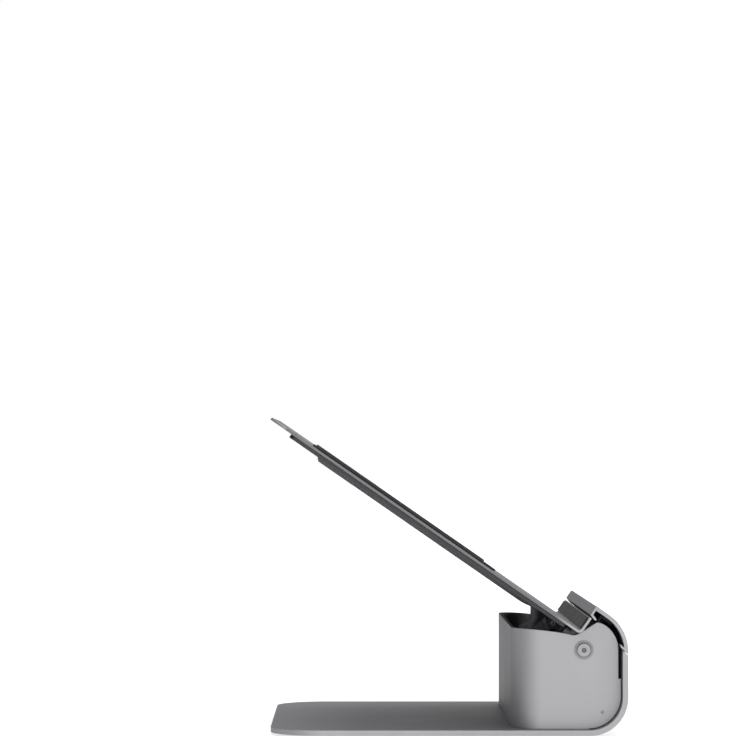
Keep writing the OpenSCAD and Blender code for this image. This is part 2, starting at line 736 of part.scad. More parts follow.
module lip_strip() color(black_rubber) on_tray() translate([4 - panel_w / 2, upstand_back_a, bend_n + 0.4])
    cube([panel_w - 8, strip_t, upstand_top_n - bend_n - 1.2]);

module tray_pad() on_tray() translate([pad_x, pad_start_a + pad_l / 2, tray_top_n]) rotate([0, 0, 90])
    linear_extrude(pad_t) slot_outline(pad_l, pad_w);

module tray_pad_right() color(black_rubber) tray_pad();

module tray_pad_left() color(black_rubber) mirror([1, 0, 0]) tray_pad();

module at_rod_ends() for (p = [front_rod, rear_rod], x = [-carriage_l / 2, carriage_l / 2 - rod_bush_l])
    translate([carriage_rest + x, p[0], p[1]]) rotate([0, 90, 0]) children();

module slider_carriage() color(black_plastic) placed() difference() {
    translate([carriage_rest, 0, 0]) {
        difference() {
            across(-carriage_l / 2, carriage_l / 2) {
                translate(front_rod) circle(tube_r);
                translate(rear_rod) circle(tube_r);
                link_outline(front_rod, rear_rod, deck_t / 2);
            }
            for (x = [-1, 0, 1]) translate([x * carriage_l * 0.3, (front_rod[0] + rear_rod[0]) / 2, 0])
                linear_extrude(slot_z + tube_r) slot_outline(carriage_l * 0.22, 12);
        }
        translate([0, rear_rod[0] + wedge_w / 2, 0]) rotate([90, 0, 0]) linear_extrude(wedge_w)
            polygon(concat([[-carriage_l / 2, rear_rod[1]]],
                [for (i = [0:16]) let (s = 0.5 + (i / 16 - 0.5) * carriage_l / slider_travel)
                    [i / 16 * carriage_l - carriage_l / 2, wedge_top(s)[1]]],
                [[carriage_l / 2, rear_rod[1]]]));
        translate([-stem_w / 2 - block_wall, block_front_u, slot_z - stem_h / 2 - block_wall])
            cube([stem_w + 2 * block_wall, block_back_u - block_front_u, stem_h + 2 * block_wall]);
    }
    bar(front_rod, rod_r + 0.6, carriage_rest - carriage_l, carriage_rest + carriage_l);
    bar(rear_rod, rod_r + 0.6, carriage_rest - carriage_l, carriage_rest + carriage_l);
    at_rod_ends() translate([0, 0, -hole_gap])
        cylinder(r = rod_bush_r + hole_gap, h = rod_bush_l + 2 * hole_gap);
    translate([carriage_rest, block_back_u - 1, slot_z]) rotate([90, 0, 0])
        linear_extrude(block_back_u) slot_outline(stem_w + 2 * hole_gap, stem_h + 2 * hole_gap);
    translate([carriage_rest, (block_front_u + block_back_u) / 2 - 0.5, slot_z])
        cylinder(r = screw_r + hole_gap, h = stem_h / 2 + block_wall + past);
}

module rod_bushes() color(steel) placed() at_rod_ends() difference() {
    cylinder(r = rod_bush_r, h = rod_bush_l);
    translate([0, 0, -past]) cylinder(r = rod_r + running_gap, h = rod_bush_l + 2 * past);
}

module slider_knob() color(aluminium) placed() translate([carriage_rest, 0, slot_z]) rotate([90, 0, 0]) {
    translate([0, 0, hole_gap + 1 - block_back_u]) linear_extrude(block_back_u + knob_gap)
        slot_outline(stem_w, stem_h);
    difference() {
        union() {
            translate([0, 0, knob_gap]) linear_extrude(knob_d - 1) slot_outline(knob_w, knob_h);
            translate([0, 0, knob_gap + knob_d - 1]) linear_extrude(1)
                slot_outline(knob_w - 1.6, knob_h - 1.6);
        }
        for (i = [-2:2]) translate([i * 3.2, -knob_h, knob_gap + knob_d + 0.3]) rotate([-90, 0, 0])
            cylinder(r = 1, h = 2 * knob_h);
    }
}

module knob_set_screw() color(steel) placed()
    translate([carriage_rest, (block_front_u + block_back_u) / 2 - 0.5, slot_z + stem_h / 2]) difference() {
        cylinder(r = screw_r, h = 3.8);
        translate([0, 0, 2.2]) cylinder(r = screw_r * 0.6, h = 2.2, $fn = 6);
    }

base_panel();
housing();
rubber_feet();
housing_screws();
chassis();
chassis_screws();
guide_rod_front();
guide_rod_rear();
rod_clips();
slot_liner();
hinge_screw_left();
hinge_screw_right();
hinge_washer_left();
hinge_washer_right();
hinge_nut_left();
hinge_nut_right();
tray_panel();
front_cover();
cover_rail();
rail_rivets();
tray_bracket();
tray_rivets();
cross_shaft();
lever_arm();
follower_pin();
hinge_bush_left();
hinge_bush_right();
lip_strip();
tray_pad_left();
tray_pad_right();
slider_carriage();
rod_bushes();
slider_knob();
knob_set_screw();
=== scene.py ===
"""Looks of the adjustable laptop stand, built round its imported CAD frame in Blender 4.5.

The sheets and plates of the frame get copies with rounded edges, the rest of the CAD nodes are
kept, and every piece is dressed in a procedural finish. All lengths are in metres.
"""

import logging
import math
from dataclasses import dataclass, field, replace
from enum import Enum

import bpy
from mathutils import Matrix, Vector


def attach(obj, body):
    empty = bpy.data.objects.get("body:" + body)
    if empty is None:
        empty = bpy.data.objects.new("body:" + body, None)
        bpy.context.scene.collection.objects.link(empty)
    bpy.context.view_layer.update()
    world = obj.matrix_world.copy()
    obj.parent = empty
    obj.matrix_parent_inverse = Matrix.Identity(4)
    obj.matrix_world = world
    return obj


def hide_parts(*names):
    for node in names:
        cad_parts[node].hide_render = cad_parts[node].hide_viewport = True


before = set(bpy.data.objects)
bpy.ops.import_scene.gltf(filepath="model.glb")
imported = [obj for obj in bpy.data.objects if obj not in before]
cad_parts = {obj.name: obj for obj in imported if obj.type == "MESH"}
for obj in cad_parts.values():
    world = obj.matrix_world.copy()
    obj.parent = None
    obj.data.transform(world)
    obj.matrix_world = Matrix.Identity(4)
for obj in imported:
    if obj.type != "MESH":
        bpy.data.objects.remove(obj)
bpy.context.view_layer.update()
MERGE_DISTANCE = 0.000002
FLAT_ANGLE = math.radians(0.6)
SMOOTH_ANGLE = math.radians(50)
FLAT_FACE_WEIGHT = 100
FLOOR_DROP = 0.0001
log = logging.getLogger("laptop_stand")

Colour = tuple[float, float, float]


class Body(Enum):
    """The bodies of the stand that a piece may ride on."""

    BASE = "base"
    TRAY = "tray"
    SLIDER = "slider"


class Slot(Enum):
    """The record's material slots."""

    ALUMINIUM = "aluminium"
    DARK_ALUMINIUM = "dark_aluminium"
    STEEL = "steel"
    ROD_STEEL = "rod_steel"
    BLACK_PLASTIC = "black_plastic"
    BLACK_RUBBER = "black_rubber"


def grey(value: float, blue: float = 1.0) -> Colour:
    """A neutral colour.

    Args:
        value: How light it is, from 0 to 1, in linear light.
        blue: Factor on the blue channel.

    Returns:
        The colour as red, green and blue.
    """
    return (value, value, value * blue)


# ---------------------------------------------------------------- effects that finishes share


class NodeSheet:
    """A thin layer over a node tree, which adds nodes and joins them."""

    def __init__(self, tree: bpy.types.NodeTree) -> None:
        """Takes hold of a tree.

        Args:
            tree: The node tree to write to.
        """
        self.tree = tree

    def add(self, kind: str, **values: object) -> bpy.types.Node:
        """Adds a node.

        Args:
            kind: The node's type name, without ShaderNode in front.
            values: Attributes of the node.

        Returns:
            The new node.
        """
        node = self.tree.nodes.new(kind if kind.startswith("Node") else "ShaderNode" + kind)
        for name, value in values.items():
            setattr(node, name, value)
        return node

    def join(self, source: bpy.types.NodeSocket, target: bpy.types.NodeSocket) -> None:
        """Links one socket to another."""
        self.tree.links.new(source, target)

    def put(self, value: object, target: bpy.types.NodeSocket) -> None:
        """Links a socket to the target, or sets the target to a number or colour."""
        if isinstance(value, bpy.types.NodeSocket):
            self.join(value, target)
        else:
            target.default_value = value

    def feed(self, node: bpy.types.Node, **sockets: object) -> bpy.types.Node:
        """Sets a node's inputs to values, or links them to sockets.

        Args:
            node: The node whose inputs are set.
            sockets: Input names, with underscores for spaces, and what each one gets.

        Returns:
            The same node.
        """
        for name, value in sockets.items():
            self.put(value, node.inputs[name.replace("_", " ")])
        return node

    def math(self, operation: str, *terms: object) -> bpy.types.NodeSocket:
        """Adds a Math node.

        Args:
            operation: The operation's name.
            terms: Numbers or sockets, one for each input.

        Returns:
            The node's output.
        """
        node = self.add("Math", operation=operation)
        for term, target in zip(terms, node.inputs):
            self.put(term, target)
        return node.outputs[0]

    def remap(self, value: bpy.types.NodeSocket, low: float, high: float, to_low: float,
              to_high: float) -> bpy.types.NodeSocket:
        """Maps a value from one range to another, clamped at both ends.

        Args:
            value: What is mapped.
            low: The value that gives to_low.
            high: The value that gives to_high.
            to_low: The result at low.
            to_high: The result at high.

        Returns:
            The mapped value.
        """
        node = self.add("MapRange", clamp=True)
        for term, target in zip((value, low, high, to_low, to_high), node.inputs):
            self.put(term, target)
        return node.outputs["Result"]


class Effect:
    """A shader node group with named inputs and outputs, built once and used by many finishes."""

    title = ""
    takes: dict[str, tuple[str, float]] = {}
    gives: dict[str, str] = {}

    @classmethod
    def group(cls) -> bpy.types.NodeTree:
        """The effect's node group, built at the first call.

        Returns:
            The node group.
        """
        made = bpy.data.node_groups.get(cls.title)
        if made:
            return made
        made = bpy.data.node_groups.new(cls.title, "ShaderNodeTree")
        for name, (kind, value) in cls.takes.items():
            socket = made.interface.new_socket(name, in_out="INPUT", socket_type=kind)
            if kind == "NodeSocketFloat":
                socket.default_value = value
        for name, kind in cls.gives.items():
            made.interface.new_socket(name, in_out="OUTPUT", socket_type=kind)
        sheet = NodeSheet(made)
        cls.draw(sheet, sheet.add("NodeGroupInput").outputs, sheet.add("NodeGroupOutput").inputs)
        return made

    @classmethod
    def draw(cls, sheet: NodeSheet, takes: object, gives: object) -> None:
        """Builds the group's inside.

        Args:
            sheet: The group's tree.
            takes: Sockets that bring the group's inputs.
            gives: Sockets that lead to the group's outputs.
        """
        raise NotImplementedError

    @classmethod
    def place(cls, sheet: NodeSheet, **sockets: object) -> object:
        """Places the effect in a tree.

        Args:
            sheet: The tree.
            sockets: Input names, with underscores for spaces, and what each one gets.

        Returns:
            The outputs of the new group node.
        """
        node = sheet.add("Group", node_tree=cls.group())
        return sheet.feed(node, **sockets).outputs


class BlastGrain(Effect):
    """The fine pits of a bead blasted or moulded surface."""

    title = "blast_grain"
    takes = {"Vector": ("NodeSocketVector", 0), "Scale": ("NodeSocketFloat", 3000),
             "Coarse": ("NodeSocketFloat", 0.4)}
    gives = {"Height": "NodeSocketFloat", "Speckle": "NodeSocketFloat"}

    @classmethod
    def draw(cls, sheet: NodeSheet, takes: object, gives: object) -> None:
        """Mixes small round pits with a finer noise."""
        pits = sheet.add("TexVoronoi", feature="SMOOTH_F1")
        sheet.feed(pits, Vector=takes["Vector"], Scale=takes["Scale"], Smoothness=0.6)
        grain = sheet.add("TexNoise")
        sheet.feed(grain, Vector=takes["Vector"], Scale=sheet.math("MULTIPLY", takes["Scale"], 2.3),
                   Detail=3.0, Roughness=0.6)
        pit_part = sheet.math("MULTIPLY", pits.outputs["Distance"], takes["Coarse"])
        sheet.join(sheet.math("ADD", pit_part, grain.outputs["Fac"]), gives["Height"])
        sheet.join(sheet.remap(grain.outputs["Fac"], 0.3, 0.7, 0.0, 1.0), gives["Speckle"])


class HandledCloud(Effect):
    """Slow, soft changes over a surface, as from its batch, from hands and from wiping."""

    title = "handled_cloud"
    takes = {"Vector": ("NodeSocketVector", 0), "Scale": ("NodeSocketFloat", 14)}
    gives = {"Cloud": "NodeSocketFloat", "Smudge": "NodeSocketFloat"}

    @classmethod
    def draw(cls, sheet: NodeSheet, takes: object, gives: object) -> None:
        """Gives a broad cloud, and narrower smudges where two noises agree."""
        broad = sheet.feed(sheet.add("TexNoise"), Vector=takes["Vector"], Scale=takes["Scale"],
                           Detail=3.0, Roughness=0.5)
        close = sheet.feed(sheet.add("TexNoise"), Vector=takes["Vector"], Distortion=0.6,
                           Scale=sheet.math("MULTIPLY", takes["Scale"], 4.1), Detail=5.0)
        sheet.join(sheet.remap(broad.outputs["Fac"], 0.3, 0.7, 0.0, 1.0), gives["Cloud"])
        both = sheet.math("MULTIPLY", broad.outputs["Fac"], close.outputs["Fac"])
        sheet.join(sheet.remap(both, 0.26, 0.4, 0.0, 1.0), gives["Smudge"])


class EdgeWear(Effect):
    """A mask along outer edges, where handling rubs a finish bright, broken up by noise."""

    title = "edge_wear"
    takes = {"Vector": ("NodeSocketVector", 0), "Reach": ("NodeSocketFloat", 0.0006),
             "Breakup": ("NodeSocketFloat", 260)}
    gives = {"Edge": "NodeSocketFloat", "Normal": "NodeSocketVector"}

    @classmethod
    def draw(cls, sheet: NodeSheet, takes: object, gives: object) -> None:
        """Compares a rounded normal with the true one."""
        rounded = sheet.add("Bevel", samples=6)
        sheet.join(takes["Reach"], rounded.inputs["Radius"])
        surface = sheet.add("NewGeometry")
        turn = sheet.add("VectorMath", operation="DOT_PRODUCT")
        sheet.join(rounded.outputs["Normal"], turn.inputs[0])
        sheet.join(surface.outputs["True Normal"], turn.inputs[1])
        bent = sheet.remap(turn.outputs["Value"], 0.995, 0.86, 0.0, 1.0)
        noise = sheet.feed(sheet.add("TexNoise"), Vector=takes["Vector"], Scale=takes["Breakup"],
                           Detail=4.0)
        patchy = sheet.remap(noise.outputs["Fac"], 0.38, 0.62, 0.25, 1.0)
        sheet.join(sheet.math("MULTIPLY", bent, patchy), gives["Edge"])
        sheet.join(rounded.outputs["Normal"], gives["Normal"])


class ToolMarks(Effect):
    """Fine lines across a ground, turned or drawn surface."""

    title = "tool_marks"
    takes = {"Vector": ("NodeSocketVector", 0), "Along": ("NodeSocketFloat", 40),
             "Across": ("NodeSocketFloat", 4000)}
    gives = {"Height": "NodeSocketFloat", "Streak": "NodeSocketFloat"}

    @classmethod
    def draw(cls, sheet: NodeSheet, takes: object, gives: object) -> None:
        """Stretches a noise along two axes and packs it along X."""
        pack = sheet.add("CombineXYZ")
        for axis, name in zip("XYZ", ("Across", "Along", "Along")):
            sheet.join(takes[name], pack.inputs[axis])
        stretched = sheet.add("VectorMath", operation="MULTIPLY")
        sheet.join(takes["Vector"], stretched.inputs[0])
        sheet.join(pack.outputs[0], stretched.inputs[1])
        lines = sheet.feed(sheet.add("TexNoise"), Vector=stretched.outputs[0], Scale=1.0,
                           Detail=2.0)
        sheet.join(lines.outputs["Fac"], gives["Height"])
        sheet.join(sheet.remap(lines.outputs["Fac"], 0.35, 0.65, 0.0, 1.0), gives["Streak"])


class SettledDust(Effect):
    """A mask of fine dust that settles on faces that look up."""

    title = "settled_dust"
    takes = {"Vector": ("NodeSocketVector", 0), "Scale": ("NodeSocketFloat", 120)}
    gives = {"Dust": "NodeSocketFloat"}

    @classmethod
    def draw(cls, sheet: NodeSheet, takes: object, gives: object) -> None:
        """Multiplies how far a face looks up by a speckled noise."""
        surface = sheet.add("NewGeometry")
        parts = sheet.add("SeparateXYZ")
        sheet.join(surface.outputs["Normal"], parts.inputs[0])
        upward = sheet.remap(parts.outputs["Z"], 0.1, 0.9, 0.15, 1.0)
        noise = sheet.feed(sheet.add("TexNoise"), Vector=takes["Vector"], Scale=takes["Scale"],
                           Detail=8.0, Roughness=0.7)
        speckled = sheet.remap(noise.outputs["Fac"], 0.45, 0.75, 0.0, 1.0)
        sheet.join(sheet.math("MULTIPLY", upward, speckled), gives["Dust"])


class RecessShade(Effect):
    """A mask of painted shade in slots, sockets and along joints, where little light reaches."""

    title = "recess_painted_shade"
    takes = {"Vector": ("NodeSocketVector", 0), "Reach": ("NodeSocketFloat", 0.0018)}
    gives = {"PaintedShade": "NodeSocketFloat"}

    @classmethod
    def draw(cls, sheet: NodeSheet, takes: object, gives: object) -> None:
        """Finds where little of the surroundings is open, and breaks that up with a noise."""
        open_share = sheet.feed(sheet.add("AmbientOcclusion", samples=8), Distance=takes["Reach"])
        # The less of the surroundings is open, the more painted shade.
        closed = sheet.remap(open_share.outputs["AO"], 0.2, 0.75, 1.0, 0.0)
        noise = sheet.feed(sheet.add("TexNoise"), Vector=takes["Vector"], Scale=700.0, Detail=4.0)
        patchy = sheet.remap(noise.outputs["Fac"], 0.35, 0.65, 0.7, 1.0)
        sheet.join(sheet.math("MULTIPLY", closed, patchy), gives["PaintedShade"])


class PaintedEndShade(Effect):
    """A mask of painted shade on a sheet's end faces behind its bend, darker than its other faces.
    """

    title = "painted_end_shade"
    takes = {"Vector": ("NodeSocketVector", 0), "At": ("NodeSocketFloat", 0.12),
             "Bend": ("NodeSocketFloat", -0.067)}
    gives = {"PaintedEnd": "NodeSocketFloat"}

    @classmethod
    def draw(cls, sheet: NodeSheet, takes: object, gives: object) -> None:
        """Measures the distance from the end, and fades out at the bend."""
        parts = sheet.add("SeparateXYZ")
        sheet.join(takes["Vector"], parts.inputs[0])
        out = sheet.math("SUBTRACT", takes["At"], sheet.math("ABSOLUTE", parts.outputs["X"]))
        ends = sheet.remap(out, 0.0003, 0.0006, 1.0, 0.0)
        behind = sheet.math("SUBTRACT", parts.outputs["Y"], takes["Bend"])
        # Painted shade on the end faces, fading out at the bend.
        sheet.join(sheet.math("MULTIPLY", ends, sheet.remap(behind, -0.006, 0.004, 0.0, 1.0)),
                   gives["PaintedEnd"])


# ---------------------------------------------------------------- finishes


@dataclass(frozen=True)
class Finish:
    """What every finish has in common.

    Attributes:
        title: The material's name.
        slot: The record's material slot; not used.
        colour: Base colour, in linear light.
        metallic: How metallic it is.
        roughness: Roughness before its variation.
        grain_scale: Grains for each metre.
        grain_depth: Depth of the grain, in metres.
    """

    title: str
    slot: Slot
    colour: Colour
    metallic: float = 0.0
    roughness: float = 0.5
    grain_scale: float = 2600.0
    grain_depth: float = 0.00001

    def material(self) -> bpy.types.Material:
        """The finish's material, built at the first call.

        Returns:
            The material.
        """
        made = bpy.data.materials.get(self.title)
        if made:
            return made
        made = bpy.data.materials.new(self.title)
        made.use_nodes = True
        made.node_tree.nodes.clear()
        made.diffuse_color = (*self.colour, 1.0)
        sheet = NodeSheet(made.node_tree)
        shader = sheet.add("BsdfPrincipled")
        sheet.feed(shader, Metallic=self.metallic)
        place = sheet.add("TexCoord").outputs["Object"]
        self.paint(sheet, shader, place)
        sheet.join(shader.outputs[0], sheet.add("OutputMaterial").inputs["Surface"])
        return made

    def tint(self, factor: float) -> tuple[float, float, float, float]:
        """The base colour times a factor, as a socket's value."""
        return (*(min(1.0, c * factor) for c in self.colour), 1.0)

    def paint(self, sheet: NodeSheet, shader: bpy.types.Node, place: bpy.types.NodeSocket) -> None:
        """Joins the finish's colour, roughness and relief to the shader.

        Args:
            sheet: The material's tree.
            shader: The Principled shader.
            place: Object coordinates.
        """
        raise NotImplementedError

    def blend(self, sheet: NodeSheet, share: bpy.types.NodeSocket, first: object,
              second: object) -> bpy.types.NodeSocket:
        """Mixes two colours.

        Args:
            sheet: The material's tree.
            share: How much of the second colour shows.
            first: A colour or a colour socket.
            second: A colour or a colour socket.

        Returns:
            The mixed colour.
        """
        mix = sheet.add("Mix", data_type="RGBA")
        sheet.join(share, mix.inputs["Factor"])
        sheet.put(first, mix.inputs[6])
        sheet.put(second, mix.inputs[7])
        return mix.outputs[2]

    def emboss(self, sheet: NodeSheet, shader: bpy.types.Node, height: bpy.types.NodeSocket,
               normal: bpy.types.NodeSocket | None = None) -> None:
        """Turns a height into the shader's normal.

        Args:
            sheet: The material's tree.
            shader: The Principled shader.
            height: The height, from 0 to about 1.
            normal: A normal that the relief lies on, if not the surface's own.
        """
        bump = sheet.add("Bump")
        sheet.feed(bump, Strength=1.0, Distance=self.grain_depth, Height=height)
        if normal is not None:
            sheet.join(normal, bump.inputs["Normal"])
        sheet.join(bump.outputs["Normal"], shader.inputs["Normal"])


@dataclass(frozen=True)
class AnodisedSheet(Finish):
    """Bead blasted aluminium with a matt anodised layer.

    Attributes:
        bare: Colour factor where the layer is rubbed thin on edges.
        wear: How much of that shows.
        cloud_depth: How far the tone wanders over the sheet.
        shade: Colour factor of the painted shade in recesses and joints.
        rim: Share of the shine that is left where the layer is seen edge on.
        reach: How far apart the walls of a recess stand that gets painted shade, in metres.
        end_shade_tone: Colour factor of the painted shade on the end faces of the sheet.
        end_shade_at: How far from the middle, along X, those ends lie, or 0 for a sheet without
            them.
        cloud_scale: Clouds for each metre.
        fleck: How much of the light flecks shows.
        fleck_tone: Colour factor of those flecks.
        edge_reach: Width of the rubbed edges, in metres.
        handled_gloss: How much smoother smudged places are.
        worn_gloss: How much smoother rubbed edges are.
    """

    bare: float = 1.5
    wear: float = 0.5
    cloud_depth: float = 0.035
    shade: float = 0.3
    rim: float = 0.35
    reach: float = 0.0018
    end_shade_tone: float = 1.0
    end_shade_at: float = 0.0
    cloud_scale: float = 9.0
    fleck: float = 0.22
    fleck_tone: float = 1.16
    edge_reach: float = 0.0005
    handled_gloss: float = 0.05
    worn_gloss: float = 0.08

    def paint(self, sheet: NodeSheet, shader: bpy.types.Node, place: bpy.types.NodeSocket) -> None:
        """Clouds the tone, speckles it, rubs the edges bright, paints shade on the end faces and
        into recesses, and pits the surface.
        """
        sheet.feed(shader, Specular_Tint=(*grey(self.rim), 1.0))
        grain = BlastGrain.place(sheet, Vector=place, Scale=self.grain_scale, Coarse=0.5)
        cloud = HandledCloud.place(sheet, Vector=place, Scale=self.cloud_scale)
        edge = EdgeWear.place(sheet, Vector=place, Reach=self.edge_reach)
        tone = self.blend(sheet, cloud["Cloud"], self.tint(1 - self.cloud_depth),
                          self.tint(1 + self.cloud_depth))
        fleck = sheet.math("MULTIPLY", grain["Speckle"], self.fleck)
        speckled = self.blend(sheet, fleck, tone, self.tint(self.fleck_tone))
        worn = sheet.math("MULTIPLY", edge["Edge"], self.wear)
        rubbed = self.blend(sheet, worn, speckled, self.tint(self.bare))
        # Painted shade on the sheet's end faces behind the bend.
        if self.end_shade_at:
            painted_end = PaintedEndShade.place(sheet, Vector=place, At=self.end_shade_at)
            rubbed = self.blend(sheet, painted_end["PaintedEnd"], rubbed, self.tint(self.end_shade_tone))
        # Painted shade in recesses and along joints, from an occlusion mask.
        painted_shade = RecessShade.place(sheet, Vector=place, Reach=self.reach)
        sheet.join(self.blend(sheet, painted_shade["PaintedShade"], rubbed, self.tint(self.shade)),
                   shader.inputs["Base Color"])
        rough = sheet.remap(cloud["Smudge"], 0.0, 1.0, self.roughness,
                            self.roughness - self.handled_gloss)
        softer = sheet.math("SUBTRACT", rough, sheet.math("MULTIPLY", worn, self.worn_gloss))
        sheet.join(softer, shader.inputs["Roughness"])
        self.emboss(sheet, shader, grain["Height"], edge["Normal"])


@dataclass(frozen=True)
class PlatedSteel(Finish):
    """Turned or pressed steel with a thin plated layer, dulled where it is handled.

    Attributes:
        stain: Colour factor of its faint stains.
        stain_scale: Stains for each metre.
        shade: Colour factor of the painted shade in recesses.
        reach: How far apart the walls of a recess stand that gets painted shade, in metres.
        lit: Colour factor on its rubbed edges.
        wear: How much of those edges shows.
        edge_reach: Width of the rubbed edges, in metres.
        streak: How far the roughness swings from one tool mark to the next.
    """

    stain: float = 0.72
    stain_scale: float = 160.0
    shade: float = 0.12
    reach: float = 0.006
    lit: float = 1.35
    wear: float = 0.5
    edge_reach: float = 0.00025
    streak: float = 0.06

    def paint(self, sheet: NodeSheet, shader: bpy.types.Node, place: bpy.types.NodeSocket) -> None:
        """Lays tool marks and faint stains over the metal, with brighter edges, and paints shade
        into its recesses.
        """
        marks = ToolMarks.place(sheet, Vector=place, Along=900.0, Across=5200.0)
        cloud = HandledCloud.place(sheet, Vector=place, Scale=self.stain_scale)
        edge = EdgeWear.place(sheet, Vector=place, Reach=self.edge_reach, Breakup=900.0)
        stained = self.blend(sheet, cloud["Cloud"], self.tint(self.stain), self.tint(1.0))
        rubbed = sheet.math("MULTIPLY", edge["Edge"], self.wear)
        lit = self.blend(sheet, rubbed, stained, self.tint(self.lit))
        # Painted shade in recesses, from an occlusion mask.
        painted_shade = RecessShade.place(sheet, Vector=place, Reach=self.reach)
        sheet.join(self.blend(sheet, painted_shade["PaintedShade"], lit, self.tint(self.shade)),
                   shader.inputs["Base Color"])
        streaked = sheet.remap(marks["Streak"], 0.0, 1.0, self.roughness - self.streak,
                               self.roughness + self.streak)
        sheet.join(streaked, shader.inputs["Roughness"])
        self.emboss(sheet, shader, marks["Height"], edge["Normal"])


@dataclass(frozen=True)
class MouldedPlastic(Finish):
    """Moulded plastic with a fine spark-eroded grain and light scuffs.

    Attributes:
        dust: How much of its dust shows.
        dust_tone: How light the dust is.
        wear: How much of the scuffs shows.
        scuff: Colour factor of those scuffs.
        swing: How far the roughness wanders with the grain.
    """

    dust: float = 0.12
    dust_tone: float = 0.28
    wear: float = 0.35
    scuff: float = 3.0
    swing: float = 0.08

    def paint(self, sheet: NodeSheet, shader: bpy.types.Node, place: bpy.types.NodeSocket) -> None:
        """Grains the surface, dusts it and scuffs its edges."""
        grain = BlastGrain.place(sheet, Vector=place, Scale=self.grain_scale, Coarse=0.9)
        edge = EdgeWear.place(sheet, Vector=place, Reach=0.0003, Breakup=500.0)
        dust = SettledDust.place(sheet, Vector=place)
        dusty = self.blend(sheet, sheet.math("MULTIPLY", dust["Dust"], self.dust), self.tint(1.0),
                           (*grey(self.dust_tone), 1.0))
        rubbed = sheet.math("MULTIPLY", edge["Edge"], self.wear)
        scuffed = self.blend(sheet, rubbed, dusty, self.tint(self.scuff))
        sheet.join(scuffed, shader.inputs["Base Color"])
        rough = sheet.remap(grain["Speckle"], 0.0, 1.0, self.roughness - self.swing,
                            self.roughness + self.swing)
        sheet.join(rough, shader.inputs["Roughness"])
        self.emboss(sheet, shader, grain["Height"], edge["Normal"])


@dataclass(frozen=True)
class MattRubber(Finish):
    """Silicone rubber with a matt skin that holds a little dust.

    Attributes:
        dust: How much of its dust shows.
        dust_tone: How light the dust is.
        pale: Colour factor where the skin is paler.
        dark: Colour factor where it is darker.
        handled_gloss: How much smoother smudged places are.
    """

    dust: float = 0.2
    dust_tone: float = 0.3
    pale: float = 1.25
    dark: float = 0.85
    handled_gloss: float = 0.1

    def paint(self, sheet: NodeSheet, shader: bpy.types.Node, place: bpy.types.NodeSocket) -> None:
        """Dusts the skin and gives it a soft, close grain."""
        grain = BlastGrain.place(sheet, Vector=place, Scale=self.grain_scale, Coarse=1.2)
        cloud = HandledCloud.place(sheet, Vector=place, Scale=60.0)
        dust = SettledDust.place(sheet, Vector=place, Scale=260.0)
        tone = self.blend(sheet, cloud["Cloud"], self.tint(self.dark), self.tint(self.pale))
        settled = sheet.math("MULTIPLY", dust["Dust"], self.dust)
        sheet.join(self.blend(sheet, settled, tone, (*grey(self.dust_tone), 1.0)),
                   shader.inputs["Base Color"])
        rough = sheet.remap(cloud["Smudge"], 0.0, 1.0, self.roughness,
                            self.roughness - self.handled_gloss)
        sheet.join(rough, shader.inputs["Roughness"])
        self.emboss(sheet, shader, grain["Height"])


# Every anodised and plated finish paints shade into its recesses and joints, at its shade factor.
SILVER = AnodisedSheet("silver_anodised", Slot.ALUMINIUM, (0.385, 0.38, 0.395), 0.95, 0.5,
                       shade=0.65)
BASE_SHEET = replace(SILVER, title="silver_anodised_base", rim=0.55)
# The tray sheet takes painted shade on its end faces at half its tone, and darker painted shade in
# its recesses.
TRAY_SHEET = replace(SILVER, title="silver_anodised_tray", wear=0.3, shade=0.3, end_shade_tone=0.5,
                     end_shade_at=0.12)
# The washer is a darker copy of the silver anodising: painted shade for the shaded ring round the
# hinge screw.
WASHER_SHADE = AnodisedSheet("washer_painted_shade", Slot.ALUMINIUM, grey(0.31, 1.04), 0.95, 0.55)
# The lever arm's flat dark tone is painted shade from the housing, lightened to stand in for the
# light on its upper part.
ARM_LIGHT_AND_SHADE = AnodisedSheet("arm_painted_light_and_shade", Slot.DARK_ALUMINIUM, grey(0.14, 1.06), 0.9, 0.5, wear=0.3)
# Near-black copy of the anodising on the chassis and cover rails: painted shade for the dark inside
# of the housing and cover.
SHADED = AnodisedSheet("painted_shade_anodised", Slot.DARK_ALUMINIUM, grey(0.035, 1.06), 0.85, 0.55,
                       wear=0.15)
# Dark copy of the anodising on the tray bracket: painted shade for its flange, which sits inboard
# under the tray.
SMOKE_SHADE = AnodisedSheet("painted_shade_smoke_anodised", Slot.DARK_ALUMINIUM, grey(0.085, 1.06), 0.9, 0.5,
                      grain_scale=5200.0, grain_depth=0.000003, wear=0.3)
ZINC = PlatedSteel("zinc_plated", Slot.STEEL, grey(0.36, 1.03), 1.0, 0.4, grain_depth=0.000004)
# The screw heads take the zinc tone, with near-black painted shade in their hex sockets.
SCREW = AnodisedSheet("dulled_plating_painted_socket_shade", Slot.STEEL, grey(0.36, 1.03), 0.95, 0.5, shade=0.02,
                      reach=0.007)
GROUND = PlatedSteel("ground_rod", Slot.ROD_STEEL, grey(0.6, 1.02), 1.0, 0.18,
                     grain_depth=0.000002, stain=0.9)
PLASTIC = MouldedPlastic("black_acetal", Slot.BLACK_PLASTIC, grey(0.018, 1.08), 0.0, 0.45,
                         grain_scale=3200.0)
RUBBER = MattRubber("black_silicone", Slot.BLACK_RUBBER, grey(0.02, 1.05), 0.0, 0.75,
                    grain_scale=2000.0, grain_depth=0.00002)


# ---------------------------------------------------------------- pieces


def deselect_all() -> None:
    """Leaves nothing selected, because operators act on all that is."""
    if bpy.context.object and bpy.context.object.mode != "OBJECT":
        bpy.ops.object.mode_set(mode="OBJECT")
    bpy.ops.object.select_all(action="DESELECT")


